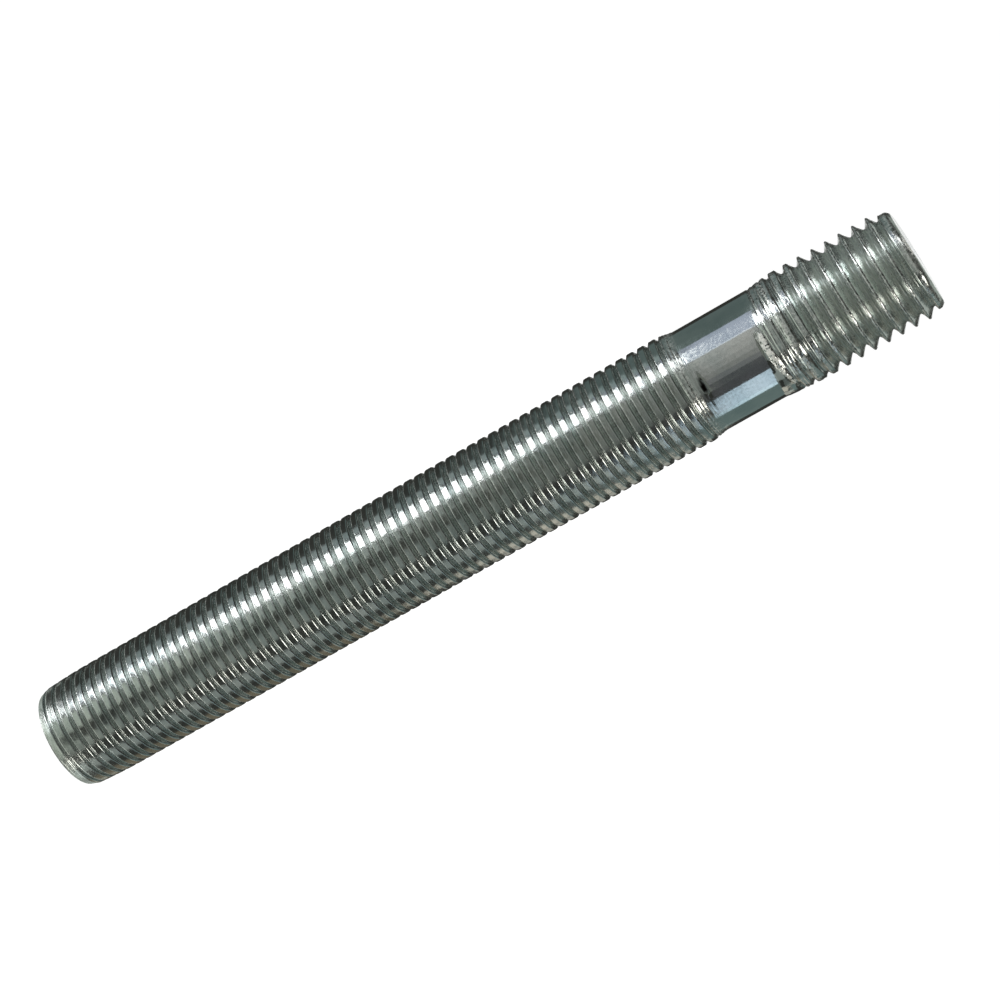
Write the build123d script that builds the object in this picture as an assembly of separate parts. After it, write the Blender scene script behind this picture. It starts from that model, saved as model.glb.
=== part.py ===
from build123d import *
import os

# Wheel stud: a double-ended stud that screws into a hub and takes a wheel nut. It is one
# steel blank, turned to the outline below and thread-rolled at both ends. It stands on its
# nut end: the origin is the middle of that end face, and +Z runs up to the hub end. Each
# thread is held here as a cylinder of its major diameter, with its true lead-in, run-out
# and chamfer. Both threads are right-hand. All sizes are in millimetres.

# Nut end, M12 x 1.25: the long thread that the wheel nut runs on.
nutThreadDiameter = 11.76  # major diameter, at the low end of tolerance 6g
nutPitch = 1.25
nutThreadLength = 75.0     # from the end face to where the run-out starts
nutRunoutTurns = 1.2       # turns over which the rolls leave the steel
nutChamferDrop = 0.32      # how much the short end chamfer takes off the radius
nutChamferLength = 0.9
nutLeadDrop = 0.21         # above the chamfer the first turns still fall short by this
nutLeadLength = 6.1        # and grow to the full diameter over this length

# Hub end, M12 x 1.5: the short thread that stays in the hub.
hubThreadDiameter = 11.76
hubPitch = 1.5
hubThreadLength = 13.6     # from where the run-out ends to the end face
hubRunoutTurns = 2.0
hubLeadDiameter = 10.84    # the plain start that finds the tapped hole
hubLeadLength = 1.3
hubConeLength = 0.9        # from the plain start up to the full thread
hubEdgeBreak = 0.16        # chamfer on the edge of the end face

# Plain shank between the threads, as thick as the blank was before rolling.
shankDiameter = 11.12
shankLength = 7.9          # between the two run-outs
swellDiameter = 11.33      # the hub side of the shank, swollen by the rolling beside it
swellLength = 2.4

nutCrest = nutThreadDiameter / 2
hubCrest = hubThreadDiameter / 2
hubLeadRadius = hubLeadDiameter / 2
shankRadius = shankDiameter / 2
swellRadius = swellDiameter / 2

leadTop = nutChamferLength + nutLeadLength
shankStart = nutThreadLength + nutRunoutTurns * nutPitch
shankEnd = shankStart + shankLength
swellStart = shankEnd - swellLength
hubThreadStart = shankEnd + hubRunoutTurns * hubPitch
overallLength = hubThreadStart + hubThreadLength
hubLeadStart = overallLength - hubLeadLength


def nutEndOutline():
    """Edges of the half outline from the axis up to the run-out of the long thread."""
    leadRadius = nutCrest - nutLeadDrop
    face = Line((0, 0), (leadRadius - nutChamferDrop, 0))
    chamferLine = Line(face @ 1, (leadRadius, nutChamferLength))
    crest = Line((nutCrest, leadTop), (nutCrest, nutThreadLength))
    lead = TangentArc(crest @ 0, chamferLine @ 1, tangent=(0, -1))
    return [face, chamferLine, lead, crest]


def shankOutline():
    """The shank and its swelling, reached from both threads along a run-out cone."""
    runout = Line((nutCrest, nutThreadLength), (shankRadius, shankStart))
    shank = Line(runout @ 1, (shankRadius, swellStart))
    swelling = TangentArc(shank @ 1, (swellRadius, shankEnd), tangent=(0, 1))
    return [runout, shank, swelling, Line(swelling @ 1, (hubCrest, hubThreadStart))]


def hubEndOutline():
    """The short thread, its cone, plain start and end face, closed back down the axis."""
    return Polyline(
        (hubCrest, hubThreadStart),
        (hubCrest, hubLeadStart - hubConeLength),
        (hubLeadRadius, hubLeadStart),
        (hubLeadRadius, overallLength - hubEdgeBreak),
        (hubLeadRadius - hubEdgeBreak, overallLength),
        (0, overallLength),
        (0, 0),
    ).edges()


def wheelStud():
    """The whole stud: its half outline, turned once round the axis."""
    outline = nutEndOutline() + shankOutline() + hubEndOutline()
    halfSection = Plane.XZ * make_face(outline)
    return revolve(halfSection, axis=Axis.Z)


stud = wheelStud()
stud.label = "wheel_stud"

os.makedirs("parts", exist_ok=True)
export_step(stud, "parts/wheel_stud.step")
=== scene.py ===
import bmesh
import bpy
import math
import numpy as np
from mathutils import Matrix, Vector


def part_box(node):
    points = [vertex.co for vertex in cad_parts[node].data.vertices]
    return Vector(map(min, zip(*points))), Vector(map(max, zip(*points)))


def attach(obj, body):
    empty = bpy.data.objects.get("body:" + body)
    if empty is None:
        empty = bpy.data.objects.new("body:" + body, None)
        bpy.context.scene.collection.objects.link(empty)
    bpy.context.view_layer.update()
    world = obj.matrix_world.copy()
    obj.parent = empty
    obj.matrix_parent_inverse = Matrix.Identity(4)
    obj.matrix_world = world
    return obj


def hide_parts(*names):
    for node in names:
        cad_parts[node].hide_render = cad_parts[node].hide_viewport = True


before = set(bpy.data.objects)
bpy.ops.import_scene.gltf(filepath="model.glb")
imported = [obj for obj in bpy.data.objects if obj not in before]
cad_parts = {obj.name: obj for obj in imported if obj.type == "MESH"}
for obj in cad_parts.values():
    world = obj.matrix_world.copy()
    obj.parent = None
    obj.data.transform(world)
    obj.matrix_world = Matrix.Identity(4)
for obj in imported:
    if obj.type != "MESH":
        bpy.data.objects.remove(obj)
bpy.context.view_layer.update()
nodeLow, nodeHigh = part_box("wheel_stud")
mm = 0.001
print("frame: a blank", round(nodeHigh.z / mm, 2), "mm long")


def linearColor(hexText, alpha=1.0):
    # sRGB hex to linear: a straight line near black, a power of 2.4 above it
    channels = [int(hexText[i:i + 2], 16) / 255 for i in (1, 3, 5)]
    linear = [c / 12.92 if c <= 0.04045 else ((c + 0.055) / 1.055) ** 2.4 for c in channels]
    return (*linear, alpha)


def smoothStep(low, high, x):
    # 0 below low, 1 above high, and 3t^2 - 2t^3 between
    t = np.clip((x - low) / (high - low), 0.0, 1.0)
    return t * t * (3 - 2 * t)


def softMin(a, b, blend):
    # the smaller of a and b, with the corner where they cross rounded over a width of blend
    h = np.clip(0.5 + 0.5 * (b - a) / blend, 0.0, 1.0)
    return b * (1 - h) + a * h - blend * h * (1 - h)


def tableAt(x, table):
    # straight lines between the rows of a table
    steps, values = zip(*table)
    return np.interp(x, steps, values)


stud = {
    # all lengths in millimetres, angles in degrees round +Z from the -Y side towards +X
    "nut": {                          # the long thread, M12 x 1.25, right-hand
        "pitch": 1.25,
        "crestHeight": 0.875,         # height of a crest at angle 0
        "crest": (8.0, 0.18),         # radius over a crest's top, rounding of its edges
        "below": (0.35, 60),          # half width of a crest, tilt of the flank below it
        "above": (0.35, 60),          # the same for the side above it
        "depth": 0.46,                # depth of the root
        # run-out: the rolls leave the steel, so the root rises by these shares of its depth
        "lift": ((74.3, 0.0), (75.4, 0.2), (76.7, 0.5), (77.4, 1.2)),
        # mesh rows, as shares of the pitch: close together where the profile bends
        "rows": (0.0, 0.10, 0.17, 0.205, 0.235, 0.265, 0.30, 0.35, 0.41, 0.455,
                 0.50, 0.545, 0.59, 0.65, 0.70, 0.735, 0.765, 0.795, 0.83, 0.90),
    },
    "hub": {                          # the short thread, M12 x 1.5, right-hand
        "pitch": 1.5,
        "crestHeight": 88.178,
        "crest": (0.7, 0.16),
        "below": (0.08, 65),
        "above": (0.10, 53),
        "depth": 0.93,
        "lift": ((84.6, 1.2), (86.2, 0.6), (87.9, 0.58), (88.6, 0.26), (90.0, 0.15), (91.5, 0.0)),
        "rows": (0.0, 0.03, 0.06, 0.09, 0.125, 0.17, 0.25, 0.35, 0.46, 0.54,
                 0.585, 0.62, 0.65, 0.68, 0.72, 0.79, 0.87, 0.92, 0.95, 0.975),
    },
    "rootRound": 0.15,                # rounding of both threads' roots
    "columns": 64,                    # mesh columns round the stud
    "hubCrestTurn": 66,               # turns of the strip from the nut's crest to the hub's
    "stripNutTop": 78.2,              # up to here the strip climbs at the nut thread's pitch
    "stripHubLow": 84.2,              # and from here at the hub thread's
    "rowSlide": (60.5, 62.5),         # turns over which the rows move to the hub thread's places
    "threadSwap": 80,                 # nut thread below this height, hub thread above it
    # the long thread was rolled a little out of lead: height, shift
    "leadError": ((0, -0.36), (9, -0.32), (20, -0.20), (32, 0.0), (44, 0.08), (56, 0.13),
                  (67, -0.02), (76, -0.06)),
    "leadErrorFade": (76, 78),
    # the turned outline, from the nut end up
    "chamferDrop": 0.32, "chamferTop": 0.9, "leadDrop": 0.21, "leadTop": 7.0,
    "fullTop": 75.0, "shankLow": 76.5, "swellLow": 84.25, "shankHigh": 84.5,
    "hubFull": 87.4, "hubConeLow": 98.8, "hubLeadLow": 99.7, "edgeBreak": 0.16,
    "shankRadius": 5.56, "swellRadius": 5.63, "hubLeadRadius": 5.42,
    "outlineRound": 0.05,             # rounding where a thread meets the outline
    "endRound": 0.1,                  # small round on both end edges
    "swellSlant": 0.9,                # the swelling starts lower by this on the +X side
    "swellSlantRise": (80, 83), "swellSlantFade": (85, 88),
    # the hub end was sheared: it falls away towards one side, and the thread starts later there
    "hubEndSlant": 0.42, "hubEndSlantAngle": -70.0, "hubEndSlantReach": 2.5,
    "hubStartLag": 0.6, "hubStartLagReach": (4, 2.5),
    # the worn cone past the short thread's last crest: its rise at the start, then its fall and
    # the turns that the fall takes
    "hubLastCrest": 8, "hubEndRise": 0.03, "hubEndFall": 0.5, "hubEndTurns": (0.12, 0.75),
}
# marks beside the run-outs: from angle, to angle, height at each, width, depth below the surface
marks = {
    # the bead and its tail are raised, and along these angles the material also paints them near white
    # as a highlight
    "bead": (-10, 32, 84.34, 84.40, 0.20, -0.07),
    "beadTail": (34, 60, 84.50, 85.00, 0.15, -0.06),
    "beadGroove": (-12, 96, 84.66, 85.35, 0.13, 0.10),
    "notch": (62, 92, 84.98, 85.15, 0.24, 0.6),
    # a painted highlight on the hub end's rim: no depth, only near white colour
    "endRimHighlight": (-27, 0, 100.64, 100.84, 0.17, 0.0),
    "nick": (1, 13, 77.13, 77.13, 0.20, 0.07),
    "pit": (24, 26, 77.02, 77.02, 0.09, 0.03),
    # faint rings that the ends of the rolls pressed into the run-outs
    "ringA": (-150, 150, 75.20, 75.62, 0.07, 0.05),
    "ringB": (-150, 150, 75.52, 75.94, 0.06, 0.045),
    "ringC": (-150, 150, 75.88, 76.30, 0.06, 0.04),
    "ringD": (-150, 150, 84.90, 85.35, 0.10, 0.07),
    "ringE": (-150, 150, 85.45, 85.90, 0.11, 0.09),
    "ringF": (-150, 150, 86.20, 86.65, 0.11, 0.10),
    "ringG": (-150, 150, 87.00, 87.45, 0.11, 0.08),
}
markFade = 4          # degrees over which a mark starts and stops


def stripHeight(turn):
    # height of the strip after this many turns: the long thread's pitch, then the shank in
    # between, then the short thread's pitch, so that every whole turn is a crest of its thread
    s, nut, hub = stud, stud["nut"], stud["hub"]
    nutTop, hubLow = s["stripNutTop"], s["stripHubLow"]
    turnA = (nutTop - nut["crestHeight"]) / nut["pitch"]
    turnB = s["hubCrestTurn"] + (hubLow - hub["crestHeight"]) / hub["pitch"]
    low = nut["crestHeight"] + nut["pitch"] * turn
    low = low + tableAt(low, s["leadError"]) * (1 - smoothStep(*s["leadErrorFade"], low))
    high = hub["crestHeight"] + hub["pitch"] * (turn - s["hubCrestTurn"])
    middle = nutTop + (turn - turnA) * (hubLow - nutTop) / (turnB - turnA)
    return np.where(turn < turnA, low, np.where(turn > turnB, high, middle))


def sideDrop(away, crest, side):
    # how far one side of a crest lies below its top, by distance away from the middle: a circle
    # over the top, then past half the width a flank at its tilt, with the edge between rounded
    over, edge = crest
    half, tilt = side
    top = np.minimum(away, half) ** 2 / (2 * over)
    return top - softMin((half - away) * math.tan(math.radians(tilt)), 0 * away, edge)


def threadRadius(thread, phase, z, crest):
    # the surface between one crest and the next lies below both of them: the smaller of the two
    # drops, meeting in a rounded root no deeper than the depth, which rises in the run-out
    t, rootRound = stud[thread], stud["rootRound"]
    low = sideDrop(phase * t["pitch"], t["crest"], t["above"])
    high = sideDrop((1 - phase) * t["pitch"], t["crest"], t["below"])
    drop = softMin(low, high, rootRound)
    drop = softMin(drop, t["depth"] + 0 * drop, rootRound)
    return crest - drop + t["depth"] * tableAt(z, t["lift"])


def blankRadius(z, length, crest):
    # the turned outline: end chamfer, long lead-in as part of a circle, crest, shank with its
    # swelling between two run-out cones, crest again, cone, plain start and broken edge
    s = stud
    knots = [0.0, s["chamferTop"], s["leadTop"], s["fullTop"], s["shankLow"],
             s["swellLow"], s["shankHigh"], s["hubFull"],
             s["hubConeLow"], s["hubLeadLow"], length - s["edgeBreak"], length]
    radii = [crest - s["leadDrop"] - s["chamferDrop"], crest - s["leadDrop"], crest, crest,
             s["shankRadius"], s["shankRadius"], s["swellRadius"], crest,
             crest, s["hubLeadRadius"], s["hubLeadRadius"], s["hubLeadRadius"] - s["edgeBreak"]]
    outline = np.interp(z, knots, radii)
    span = s["leadTop"] - s["chamferTop"]
    lead = crest - s["leadDrop"] * np.clip((s["leadTop"] - z) / span, 0, 1) ** 2
    return np.where((z > s["chamferTop"]) & (z < s["leadTop"]), lead, outline)


def markShare(name, around, z):
    # 1 along the middle of a mark, falling off across it as a bell curve and at its two ends
    start, stop, low, high, width = marks[name][:5]
    middle = low + (high - low) * np.clip((around - start) / max(stop - start, 1), 0, 1)
    ends = smoothStep(start - markFade, start + markFade, around) \
        * (1 - smoothStep(stop - markFade, stop + markFade, around))
    return ends * np.exp(-((z - middle) / width) ** 2)


def stripGrid(length):
    # the points of a strip wound round the stud, one row after another: the turn at each point,
    # its phase, which is its row's share of the pitch above a crest, and its angle
    s, nut, hub = stud, stud["nut"], stud["hub"]
    columns, perTurn = s["columns"], len(nut["rows"])
    firstTurn = int(math.floor(-nut["crestHeight"] / nut["pitch"])) - 1
    lastTurn = int(math.ceil(s["hubCrestTurn"] + (length - hub["crestHeight"]) / hub["pitch"])) + 1
    count = lastTurn - firstTurn
    turns = np.repeat(np.arange(firstTurn, lastTurn), perTurn)[:, None]
    column = np.arange(columns)[None, :]
    rowShare = np.tile(np.arange(perTurn) / perTurn, count)[:, None]
    # each row slides from its place on the long thread to its place on the short one
    slide = smoothStep(*s["rowSlide"], turns + rowShare + column / columns)
    phase = (1 - slide) * np.tile(nut["rows"], count)[:, None] \
        + slide * np.tile(hub["rows"], count)[:, None]
    turn = turns + phase + column / columns
    return turn, phase, 2 * math.pi * column / columns + 0 * turn


def stripQuads(rows, columns, perTurn):
    # a face between each two rows and columns; the last column meets the first, a turn higher
    index = np.arange(rows * columns).reshape(rows, columns)
    right = np.concatenate([index[:, 1:], np.roll(index, -perTurn, 0)[:, :1]], 1)
    quads = np.stack([index[:-1], right[:-1], right[1:], index[1:]], -1)
    quads[rows - 1 - perTurn:, -1] = -1          # above the top turn there is nothing to meet
    quads = quads.reshape(-1, 4)
    return quads[(quads >= 0).all(1)]


def makeStud():
    # the stud's whole side: the radius is the smaller of the thread's and the outline's, less
    # the depth of each mark and the rounding of the ends, and never more than the crest's
    s = stud
    length = nodeHigh.z / mm
    crest = min(nodeHigh.x - nodeLow.x, nodeHigh.y - nodeLow.y) / 2 / mm
    turn, phase, angle = stripGrid(length)
    z = stripHeight(turn)
    around = (np.degrees(angle) + 180) % 360 - 180

    # the short thread starts a little later on one side of its sheared end
    away = 0.5 + 0.5 * np.cos(angle - math.radians(s["hubEndSlantAngle"]))
    lagLow, lagHigh = (length - reach for reach in s["hubStartLagReach"])
    lag = s["hubStartLag"] * (1 - away) * smoothStep(lagLow, lagHigh, z)
    # and the shank's swelling starts lower on the +X side
    near = smoothStep(*s["swellSlantRise"], z) * (1 - smoothStep(*s["swellSlantFade"], z))
    blank = blankRadius(z - lag + s["swellSlant"] * np.sin(angle) * near, length, crest)

    nutThread = threadRadius("nut", phase, z, crest)
    hubThread = threadRadius("hub", phase, z, crest)
    # past its last crest the short thread has no groove any more, only a worn cone
    past = turn - s["hubCrestTurn"] - s["hubLastCrest"]
    wornCone = s["hubLeadRadius"] + s["hubEndRise"] \
        - s["hubEndFall"] * smoothStep(*s["hubEndTurns"], past)
    hubThread = np.where(past > 0, wornCone, hubThread)
    thread = np.where(z < s["threadSwap"], nutThread, hubThread)
    radius = softMin(thread, blank, s["outlineRound"])
    for name in marks:
        radius = radius - marks[name][5] * markShare(name, around, z)
    radius = np.minimum(radius, crest)

    z = np.clip(z, 0.0, length)
    # both end edges are broken by a quarter circle, and the hub end slants away to one side
    edge = np.clip(np.minimum(z, length - z) / s["endRound"], 0, 1)
    radius = radius - s["endRound"] * (1 - np.sqrt(1 - (1 - edge) ** 2))
    z = z - s["hubEndSlant"] * away * away * smoothStep(length - s["hubEndSlantReach"], length, z)
    points = np.stack([radius * np.sin(angle), -radius * np.cos(angle), z], -1).reshape(-1, 3) * mm
    return points, stripQuads(*turn.shape, len(s["nut"]["rows"]))


endRings = (0.985, 0.5)          # rings on each end face, as shares of the ring outside them
mergeDistance = 1e-7             # metres
thinEdge = 1e-8


def cleanMesh(name, points, quads):
    # merges what the end planes flattened, then closes each end with rings and a middle face
    mesh = bpy.data.meshes.new(name)
    mesh.from_pydata(points.tolist(), [], quads.tolist())
    bm = bmesh.new()
    bm.from_mesh(mesh)
    bmesh.ops.remove_doubles(bm, verts=bm.verts, dist=mergeDistance)
    bmesh.ops.dissolve_degenerate(bm, dist=thinEdge, edges=bm.edges)
    bmesh.ops.delete(bm, geom=[v for v in bm.verts if not v.link_faces], context="VERTS")
    edges = [e for e in bm.edges if len(e.link_faces) == 1]
    middle = sum(v.co.z for v in bm.verts) / len(bm.verts)
    for above in (False, True):
        rim = [e for e in edges if (e.verts[0].co.z > middle) == above]
        for shrink in endRings:
            ring = bmesh.ops.extrude_edge_only(bm, edges=rim)["geom"]
            rim = [g for g in ring if isinstance(g, bmesh.types.BMEdge)]
            for v in (g for g in ring if isinstance(g, bmesh.types.BMVert)):
                v.co.x *= shrink
                v.co.y *= shrink
        bmesh.ops.edgeloop_fill(bm, edges=rim)
    bmesh.ops.recalc_face_normals(bm, faces=bm.faces)
    # the rings' faces come in any order, so all faces are sorted by their three lowest corners
    bm.verts.index_update()
    count = len(bm.verts)

    def cornerOrder(face):
        first, second, third = sorted(v.index for v in face.verts)[:3]
        return (first * count + second) * count + third

    bm.faces.sort(key=cornerOrder)
    print("stud: open edges", sum(len(e.link_faces) != 2 for e in bm.edges))
    bm.to_mesh(mesh)
    bm.free()
    mesh.shade_smooth()
    return mesh


masks = {
    # heights over which the nut thread's finish stops, the hub thread's starts, and the plain
    # shank's starts and stops
    "nutStops": (75.5, 77.2), "hubStarts": (84.8, 86.0),
    "plainStarts": (76.4, 77.2), "plainStops": (83.8, 84.6),
    # burrs: turns from a crest and half width, and how strong they and the run-outs are, which also
    # sets their painted sparkle
    "nutBurr": (-0.26, 0.04), "hubBurr": (0.0, 0.2), "burrShare": 0.4,
    "nutRunout": (76.0, 0.45), "hubRunout": (86.2, 1.2), "hubRunoutShare": 0.6,
    "beadGlintShare": 4, "beadTailGlintShare": 2, "endRimHighlightShare": 3, "nickShare": 3,
    "faceRadius": (4.6, 4.9),         # inside it the flat end faces are clean
    # the groove's dirt and painted shade start this far below a crest on the hub thread, are full after
    # this much more, and are half gone on the plain start
    "hubMirrorDepth": 0.3, "shadeAndDirtDepth": 0.5, "startFade": (99.2, 99.8), "startShadeAndDirt": 0.5,
    "nutGrime": 0.2,                  # the nut thread's dirt, as a share of the hub thread's
}


def bellCurve(x, width):
    # 1 at the middle, falling off both ways as e to the power of -(x / width)^2
    return np.exp(-(x / width) ** 2)


def paintMasks(mesh):
    # shares from 0 to 1 at every point: the burr share is the rough burr along a crest's lower edge and
    # the torn metal of the run-outs, painted near white as sparkle, plus painted highlights on the
    # bead, its tail and the hub end's rim; groove is the bottom of a thread, darkened there as painted
    # shade; grime is the dirt in it (most of it on the short thread), nick is a dark mark, and plain is
    # the shank between the threads, which no roll has touched
    m = masks
    points = np.empty(len(mesh.vertices) * 3)
    mesh.vertices.foreach_get("co", points)
    x, y, z = (points.reshape(-1, 3) / mm).T
    radius = np.hypot(x, y)
    around = np.degrees(np.arctan2(x, -y))
    turns = np.linspace(-3, 80, 40000)
    turn = np.interp(z, stripHeight(turns), turns) - around / 360
    crest = nodeHigh.x / mm
    nut = 1 - smoothStep(*m["nutStops"], z)
    hub = smoothStep(*m["hubStarts"], z)

    nutPhase, nutWide = m["nutBurr"]
    hubPhase, hubWide = m["hubBurr"]
    nutBurr = bellCurve((turn - nutPhase + 0.5) % 1 - 0.5, nutWide)
    hubBurr = bellCurve((turn - hubPhase + 0.5) % 1 - 0.5, hubWide)
    nutHeight, nutHigh = m["nutRunout"]
    hubHeight, hubHigh = m["hubRunout"]
    runout = bellCurve(z - nutHeight, nutHigh) + m["hubRunoutShare"] * bellCurve(z - hubHeight, hubHigh)
    rough = m["burrShare"]
    # burrs and torn run-outs, then the bead, its tail and the hub end's rim: the material paints all of
    # them near white, as painted sparkle and highlights over torn metal where there is any
    burrAndGlint = np.clip(rough * nut * nutBurr + rough * hub * hubBurr + rough * runout, 0, 1)
    # painted highlight on the bead and its tail, added to the burr share
    burrAndGlint = burrAndGlint + m["beadGlintShare"] * markShare("bead", around, z) \
        + m["beadTailGlintShare"] * markShare("beadTail", around, z)
    # painted highlight on the hub end's rim
    burrAndGlint = burrAndGlint + m["endRimHighlightShare"] * markShare("endRimHighlight", around, z)

    low = np.clip((crest - radius - m["hubMirrorDepth"] * hub) / m["shadeAndDirtDepth"], 0, 1)
    low = low * (1 - m["startShadeAndDirt"] * smoothStep(*m["startFade"], z))
    side = smoothStep(*m["faceRadius"], radius)
    burrAndGlint, low = burrAndGlint * side, low * side
    # the deeper in a groove, the darker the material paints it (painted shade) and the rougher it is
    groove = low * np.maximum(nut, hub)
    grime = low * np.maximum(m["nutGrime"] * nut, hub)
    dark = m["nickShare"] * markShare("nick", around, z) + markShare("pit", around, z)
    plain = smoothStep(*m["plainStarts"], z) * (1 - smoothStep(*m["plainStops"], z))
    for name, values in (("burrAndGlint", burrAndGlint), ("groove", groove), ("grime", grime),
                         ("nick", np.clip(dark, 0, 1)), ("plain", plain)):
        layer = mesh.attributes.new(name, "FLOAT", "POINT")
        layer.data.foreach_set("value", values.astype(np.float32))


points, quads = makeStud()
mesh = cleanMesh("threaded_stud", points, quads)
paintMasks(mesh)
studPiece = bpy.data.objects.new("threaded_stud", mesh)
bpy.context.collection.objects.link(studPiece)
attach(studPiece, "root")
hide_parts("wheel_stud")
print("stud:", sum(len(p.vertices) - 2 for p in mesh.polygons), "triangles")


def addNode(tree, kind, settings=None, links=None):
    # adds one node, sets its properties and sockets, and joins the sockets that links names
    node = tree.nodes.new(kind)
    for key, value in (settings or {}).items():
        if isinstance(key, str) and hasattr(node, key):
            setattr(node, key, value)
        else:
            node.inputs[key].default_value = value
    for key, source in (links or {}).items():
        tree.links.new(source, node.inputs[key])
    return node


zinc = {
    "plate": "#bfc7c6", "plateCloud": "#d2d6d4",       # between the clouds and in them
    "dullAndShade": "#99a19b",                # in the grooves, over steel that the rolls roughened, and darker there as painted shade
    "dirt": "#b6beb6",                # pale dust and oil on top of it
    "burrGlint": "#fbfcf8",                # torn metal, near white as painted sparkle
    "nick": "#14110f",
    # patterns, as features to a millimetre
    "rolledPerMm": 9,                 # rolling marks 0.11 mm high, ten times as long as high
    "grainPerMm": 3.5,                # the plate's grain, really 0.02 mm, drawn at 0.3 mm to show
    "cloudsPerMm": 0.33,              # clouds of 3 mm
    "tornPerMm": 6.5,                 # lumps of torn metal, 0.15 mm
    "rolledStretch": 0.10, "tornStretch": 0.4,         # scale round the stud, as a share of Z's
    # heights of the bumps in millimetres
    "cloudHeight": 0.1, "rolledHeight": 0.02, "grainHeight": 0.02, "tornHeight": 0.04,
    # strengths of the bumps on the threads, and their change on the plain shank
    "cloudBump": (0.25, -0.2), "rolledBump": (0.24, -0.22), "grainBump": (0.6, -0.56),
    "grimeBump": 0.7,                 # rolling marks are deeper by this where there is dirt
    "rough": (0.11, 0.19),            # roughness of the plate, from grain to grain
    "roughGroove": 0.16, "roughShank": -0.06,          # added in the grooves and on the shank
    "dirtMetal": -0.85, "burrMetal": -0.9,             # dirt and burrs are hardly metallic
}


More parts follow.
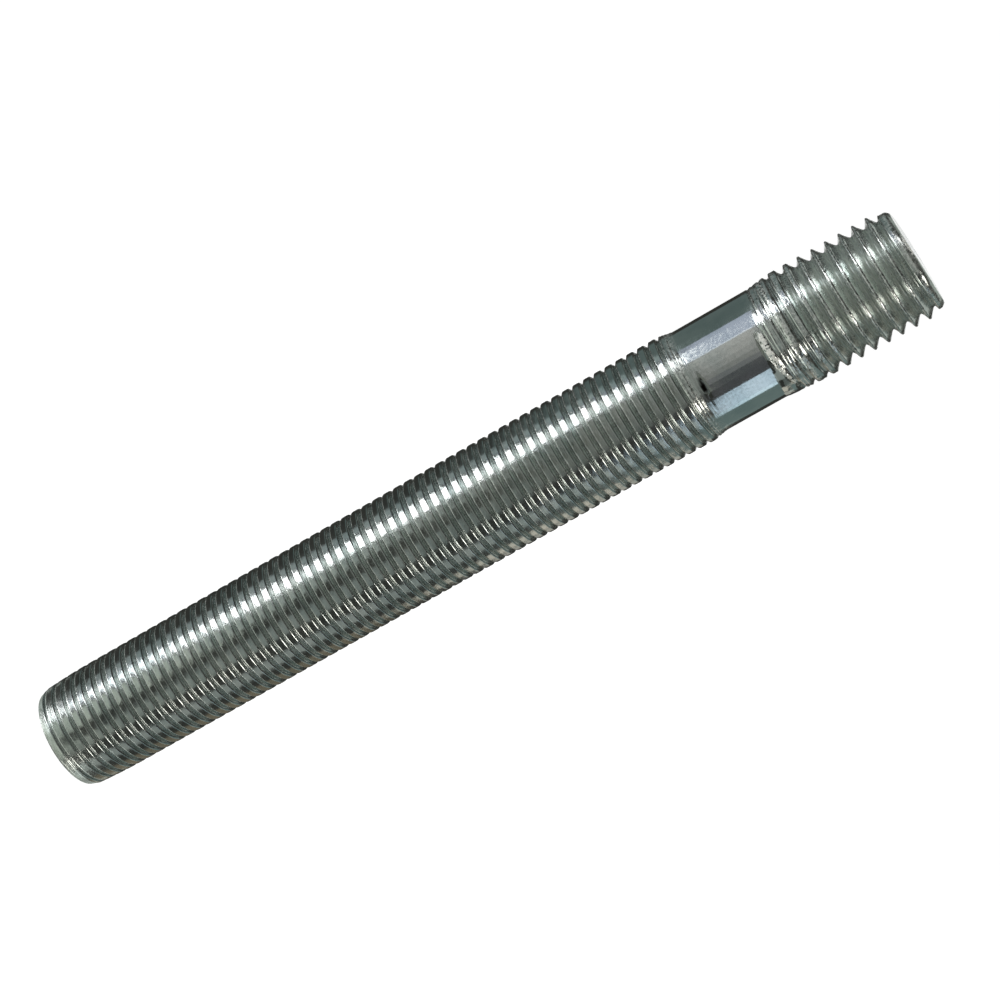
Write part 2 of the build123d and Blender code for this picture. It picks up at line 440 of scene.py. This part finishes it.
def zincMaterial():
    # bright zinc plate on rolled steel: a cold grey mirror, slightly clouded, with fine rolling marks
    # round the stud, burrs on the thread's lips painted near white as sparkle, grooves darkened as
    # painted shade, and dull grime in them
    z = zinc
    material = bpy.data.materials.new("bright_zinc_plated_steel")
    material.use_nodes = True
    tree = material.node_tree
    tree.nodes.clear()
    place = addNode(tree, "ShaderNodeTexCoord").outputs["Object"]
    burrAndGlint, groove, grime, nick, plain = (
        addNode(tree, "ShaderNodeAttribute", {"attribute_name": name}).outputs["Fac"]
        for name in ("burrAndGlint", "groove", "grime", "nick", "plain"))
    # rolling marks run round the stud: noise squeezed along Z
    around = addNode(tree, "ShaderNodeMapping", {
        "Scale": (z["rolledStretch"], z["rolledStretch"], 1.0)}, {"Vector": place})
    rolled = addNode(tree, "ShaderNodeTexNoise", {"Scale": z["rolledPerMm"] / mm, "Detail": 3.0},
                     {"Vector": around.outputs[0]}).outputs[0]
    grain = addNode(tree, "ShaderNodeTexNoise", {"Scale": z["grainPerMm"] / mm, "Detail": 4.0},
                    {"Vector": place}).outputs[0]
    clouds = addNode(tree, "ShaderNodeTexNoise", {"Scale": z["cloudsPerMm"] / mm, "Detail": 3.0},
                     {"Vector": place}).outputs[0]
    # torn metal is smeared round the stud too: sharp lumps
    smeared = addNode(tree, "ShaderNodeMapping", {
        "Scale": (z["tornStretch"], z["tornStretch"], 1.0)}, {"Vector": place})
    torn = addNode(tree, "ShaderNodeTexVoronoi", {"Scale": z["tornPerMm"] / mm},
                   {"Vector": smeared.outputs[0]}).outputs[0]

    # colour: plate, lighter in the clouds, darker in the grooves as painted shade over a duller finish,
    # near white on the lips as painted sparkle over torn metal, black nicks
    cloudShare = addNode(tree, "ShaderNodeMapRange", {"From Min": 0.35, "From Max": 0.65},
                         {"Value": clouds}).outputs[0]
    plate = addNode(tree, "ShaderNodeMix", {
        "data_type": "RGBA", 6: linearColor(z["plate"]), 7: linearColor(z["plateCloud"])},
        {0: cloudShare}).outputs[2]
    # painted shade: the grooves darken towards the dull colour by their depth, over the duller finish
    # that the rolls left
    dullShare = addNode(tree, "ShaderNodeMapRange", {
        "From Min": 0.4, "From Max": 0.6, "To Min": 0.1, "To Max": 0.95}, {"Value": rolled}).outputs[0]
    dullAndShade = addNode(tree, "ShaderNodeMath", {"operation": "MULTIPLY"},
                   {0: groove, 1: dullShare}).outputs[0]
    plate = addNode(tree, "ShaderNodeMix", {"data_type": "RGBA", 7: linearColor(z["dullAndShade"])},
                    {6: plate, 0: dullAndShade}).outputs[2]
    dirt = addNode(tree, "ShaderNodeMath", {"operation": "MULTIPLY"},
                   {0: grime, 1: dullShare}).outputs[0]
    plate = addNode(tree, "ShaderNodeMix", {"data_type": "RGBA", 7: linearColor(z["dirt"])},
                    {6: plate, 0: dirt}).outputs[2]
    # painted sparkle: near white on the burrs and torn run-outs, and painted highlights on the bead,
    # its tail and the hub end's rim
    sparkShare = addNode(tree, "ShaderNodeMapRange", {
        "From Min": 0.38, "From Max": 0.58, "To Max": 0.95}, {"Value": grain}).outputs[0]
    spark = addNode(tree, "ShaderNodeMath", {"operation": "MULTIPLY", "use_clamp": True},
                    {0: burrAndGlint, 1: sparkShare}).outputs[0]
    plate = addNode(tree, "ShaderNodeMix", {"data_type": "RGBA", 7: linearColor(z["burrGlint"])},
                    {6: plate, 0: spark}).outputs[2]
    plate = addNode(tree, "ShaderNodeMix", {"data_type": "RGBA", 7: linearColor(z["nick"])},
                    {6: plate, 0: nick}).outputs[2]

    # roughness: a soft mirror, patchy with the grain, duller in the grooves, cleaner on the shank
    rough = addNode(tree, "ShaderNodeMapRange", {
        "From Min": 0.3, "From Max": 0.7, "To Min": z["rough"][0], "To Max": z["rough"][1]},
        {"Value": grain}).outputs[0]
    rough = addNode(tree, "ShaderNodeMath", {"operation": "MULTIPLY_ADD", 1: z["roughGroove"]},
                    {0: groove, 2: rough}).outputs[0]
    rough = addNode(tree, "ShaderNodeMath", {"operation": "MULTIPLY_ADD", 1: z["roughShank"]},
                    {0: plain, 2: rough}).outputs[0]
    # the dirt is hardly metallic, so it takes light from all round, and so do the burrs, whose near
    # white colour is painted sparkle
    metal = addNode(tree, "ShaderNodeMath", {
        "operation": "MULTIPLY_ADD", 1: z["dirtMetal"], 2: 1.0}, {0: dirt}).outputs[0]
    metal = addNode(tree, "ShaderNodeMath", {
        "operation": "MULTIPLY_ADD", "use_clamp": True, 1: z["burrMetal"]},
        {0: spark, 2: metal}).outputs[0]

    # bumps: a slight wave of the plate, rolling marks that are deepest in the dirty grooves and
    # missing on the shank, grain, and the torn lumps of the burrs
    cloudStrength = addNode(tree, "ShaderNodeMath", {
        "operation": "MULTIPLY_ADD", 1: z["cloudBump"][1], 2: z["cloudBump"][0]},
        {0: plain}).outputs[0]
    rolledStrength = addNode(tree, "ShaderNodeMath", {
        "operation": "MULTIPLY_ADD", 1: z["rolledBump"][1], 2: z["rolledBump"][0]},
        {0: plain}).outputs[0]
    rolledStrength = addNode(tree, "ShaderNodeMath", {"operation": "MULTIPLY_ADD", 1: z["grimeBump"]},
                             {0: grime, 2: rolledStrength}).outputs[0]
    grainStrength = addNode(tree, "ShaderNodeMath", {
        "operation": "MULTIPLY_ADD", 1: z["grainBump"][1], 2: z["grainBump"][0]},
        {0: plain}).outputs[0]
    bump = addNode(tree, "ShaderNodeBump", {"Distance": z["cloudHeight"] * mm},
                   {"Height": clouds, "Strength": cloudStrength}).outputs[0]
    bump = addNode(tree, "ShaderNodeBump", {"Distance": z["rolledHeight"] * mm},
                   {"Height": rolled, "Strength": rolledStrength, "Normal": bump}).outputs[0]
    bump = addNode(tree, "ShaderNodeBump", {"Distance": z["grainHeight"] * mm},
                   {"Height": grain, "Strength": grainStrength, "Normal": bump}).outputs[0]
    tornLip = addNode(tree, "ShaderNodeMath", {"operation": "MULTIPLY", "use_clamp": True},
                      {0: burrAndGlint, 1: torn}).outputs[0]
    bump = addNode(tree, "ShaderNodeBump", {"Strength": 1.0, "Distance": z["tornHeight"] * mm},
                   {"Height": tornLip, "Normal": bump}).outputs[0]
    shader = addNode(tree, "ShaderNodeBsdfPrincipled", None, {
        "Base Color": plate, "Metallic": metal, "Roughness": rough, "Normal": bump})
    addNode(tree, "ShaderNodeOutputMaterial", None, {"Surface": shader.outputs[0]})
    print("finish:", len(tree.nodes), "nodes")
    return material


mesh.materials.append(zincMaterial())

lights = {
    # azimuth from the camera's side towards +X and elevation of the middle, width and height,
    # all in degrees as the stud sees them, then radiance and colour
    "keyGlow": (-63, -27, 28, 9, 0.4, "#e2e8f2"),
    "keyFoot": (-61, -26.5, 9, 7, 1.7, "#f4fbff"),
    "keyMid": (-62, -21.4, 15, 2.8, 3.2, "#f4fbff"),
    "keyLow": (-57, -12.4, 23, 15.6, 4.2, "#ffffff"),
    "keyGap": (-61, -0.2, 36, 8.2, 0.8, "#c6d0e4"),
    "keyHigh": (-56, 28, 16, 34, 2.6, "#ffffff"),
    "streak": (-71, -44, 26, 16, 6.5, "#ffffff"),
    "leftMid": (-85, -16, 17, 23, 0.36, "#d8e8e8"),
    "frontA": (-28, -29, 29, 12, 0.68, "#e2eadc"),
    "frontB": (-31.5, -17.5, 21, 11, 0.45, "#dfe9e2"),
    "frontC": (-5, -7.9, 70, 6.2, 0.2, "#e0e8da"),
    "frontRightA": (24, -29, 20, 12, 0.36, "#dfe8dc"),
    "frontRightB": (18.5, -17.5, 28, 11, 0.29, "#dae8e2"),
    "shankA": (-37, -2.3, 16, 3.6, 0.57, "#efeeea"),
    "shankB": (-22, -2.3, 14, 3.6, 0.5, "#efeeea"),
    "shankC": (-9, -2.3, 12, 3.6, 0.41, "#efeeea"),
    "shankD": (2, -2.3, 10, 3.6, 0.31, "#efeeea"),
    "shankE": (12, -2.3, 10, 3.6, 0.22, "#e8e8ec"),
    "shankDark": (32.5, -2.3, 31, 3.6, 0.09, "#d8d8e8"),
    "frontHigh": (-8, 14, 66, 28, 0.34, "#e0e8e0"),
    "window": (70.5, -2.1, 43, 3.6, 1.1, "#cfe2f2"),
    "rightMid": (75, -20, 22, 30, 0.35, "#dfe8e2"),
    "rightMidC": (88, -8.2, 46, 6.0, 0.15, "#dce8e2"),
    "cream": (50, 34, 16, 32, 4.6, "#fffaf0"),
    "rim": (120, -11, 20, 8.4, 0.7, "#f4ecdc"),
    "limb": (143, -8.5, 22, 9, 0.5, "#ece8dc"),
    "brown": (136, -25, 40, 16, 0.25, "#c8b898"),
    "teal": (113, 10, 58, 32, 0.27, "#b8d6d4"),
    "tealLeft": (-110, 4, 62, 26, 0.19, "#b8d6d4"),
    "backTop": (180, 56, 70, 50, 0.6, "#e4ece4"),
    "backBottom": (180, -56, 70, 50, 0.5, "#e4ece4"),
    "under": (-16, -58, 58, 40, 0.75, "#e2eadc"),
    "underCream": (60, -47, 22, 12, 4.4, "#fffaf0"),
    "underRight": (92, -44, 40, 16, 1.2, "#dfe8e2"),
    "underLeft": (-108, -42, 40, 12, 0.6, "#dfe8e2"),
    "underKey": (-62, -64, 12, 14, 1.2, "#ffffff"),
    "back": (180, 10, 18, 60, 1.0, "#ffffff"),
}
lightDistance = 600              # millimetres from the middle of the stud
lightCentre = (0, 0, 50)


def addLight(name, azimuth, elevation, wide, tall, radiance, color):
    # a rectangle facing the stud's middle; its energy is radiance times pi times its area
    width, height = (2 * lightDistance * math.tan(math.radians(v / 2)) for v in (wide, tall))
    data = bpy.data.lights.new(name, "AREA")
    data.shape = "RECTANGLE"
    data.size = width * mm
    data.size_y = height * mm
    data.color = linearColor(color)[:3]
    data.energy = radiance * math.pi * width * height * mm * mm
    lamp = bpy.data.objects.new(name, data)
    a, e = math.radians(azimuth), math.radians(elevation)
    toLamp = Vector((math.sin(a) * math.cos(e), -math.cos(a) * math.cos(e), math.sin(e)))
    lamp.location = (Vector(lightCentre) + toLamp * lightDistance) * mm
    lamp.rotation_mode = "QUATERNION"
    lamp.rotation_quaternion = toLamp.to_track_quat("Z", "Y")
    lamp.visible_camera = False
    bpy.context.collection.objects.link(lamp)


for name, values in lights.items():
    addLight(name, *values)
print("lights:", len(lights))

sweep = {
    # metres: radius of the flat floor, of the bend up to the wall, and height of the wall's top
    "floor": 1.2, "bend": 0.5, "top": 2.4,
    "floorRings": [0.0, 0.2, 0.6], "bendSteps": 13, "columns": 64,
    "paper": "#8c8c8c", "paperGlow": "#ffffff",
    "air": "#b8bab0", "airStrength": 0.08,      # faint light from all round
}


def makeAir():
    # even light from every side, so no dark face is quite black
    world = bpy.data.worlds.new("studio_air")
    bpy.context.scene.world = world
    world.use_nodes = True
    background = world.node_tree.nodes["Background"]
    background.inputs["Color"].default_value = linearColor(sweep["air"])
    background.inputs["Strength"].default_value = sweep["airStrength"]


def paperMaterial():
    # white paper, rolled and uncoated: no gloss, and lit so evenly that it shows no shade
    material = bpy.data.materials.new("white_paper_sweep")
    material.use_nodes = True
    shader = material.node_tree.nodes["Principled BSDF"]
    shader.inputs["Base Color"].default_value = linearColor(sweep["paper"])
    shader.inputs["Roughness"].default_value = 0.9
    shader.inputs["Emission Color"].default_value = linearColor(sweep["paperGlow"])
    shader.inputs["Emission Strength"].default_value = 1.0
    return material


def makeSweep():
    # floor and backdrop as one surface of revolution: flat, then a quarter circle up to a wall
    s = sweep
    turn = np.linspace(0, math.pi / 2, s["bendSteps"])
    reach = s["floor"] + s["bend"]
    radius = np.concatenate([s["floorRings"], s["floor"] + s["bend"] * np.sin(turn), [reach]])
    height = np.concatenate([0 * np.array(s["floorRings"]), s["bend"] * (1 - np.cos(turn)), [s["top"]]])
    angle = 2 * math.pi * np.arange(s["columns"]) / s["columns"]
    x = radius[:, None] * np.cos(angle)
    y = radius[:, None] * np.sin(angle)
    points = np.stack([x, y, height[:, None] + 0 * x], -1).reshape(-1, 3)
    index = np.arange(len(points)).reshape(x.shape)
    right = np.roll(index, -1, 1)
    quads = np.stack([index[:-1], right[:-1], right[1:], index[1:]], -1).reshape(-1, 4)
    mesh = bpy.data.meshes.new("studio_sweep")
    mesh.from_pydata(points.tolist(), [], quads.tolist())
    bm = bmesh.new()
    bm.from_mesh(mesh)
    bmesh.ops.remove_doubles(bm, verts=bm.verts, dist=1e-6)
    bm.to_mesh(mesh)
    bm.free()
    mesh.shade_smooth()
    mesh.materials.append(paperMaterial())
    piece = bpy.data.objects.new("studio_sweep", mesh)
    bpy.context.collection.objects.link(piece)
    # it shows to the camera only, so the lights alone make the reflections
    piece.visible_glossy = False
    piece.visible_diffuse = False
    piece.visible_shadow = False
    return piece


makeAir()
sweepPiece = makeSweep()
print("sweep: made")

camera = {
    # place in millimetres; looking down, turned to one side and rolled, in degrees; lens and
    # sensor width in millimetres; nearest and farthest view in metres
    "place": (0.0, -242.21, 103.29), "down": 11.73, "turn": 0.12, "roll": 60.475,
    "lens": 88.22, "sensor": 36, "near": 0.01, "far": 20,
}


def makeCamera():
    # rolled about its own axis first, then tipped down from level, then turned round +Z
    c = camera
    data = bpy.data.cameras.new("camera")
    data.lens = c["lens"]
    data.sensor_width = c["sensor"]
    data.clip_start, data.clip_end = c["near"], c["far"]
    cam = bpy.data.objects.new("camera", data)
    turned = (Matrix.Rotation(math.radians(-c["turn"]), 4, "Z")
              @ Matrix.Rotation(math.radians(90 - c["down"]), 4, "X")
              @ Matrix.Rotation(math.radians(c["roll"]), 4, "Z"))
    cam.matrix_world = Matrix.Translation(Vector(c["place"]) * mm) @ turned
    bpy.context.collection.objects.link(cam)
    bpy.context.scene.camera = cam


makeCamera()
bpy.context.scene.view_settings.view_transform = "Standard"
print("camera: set")
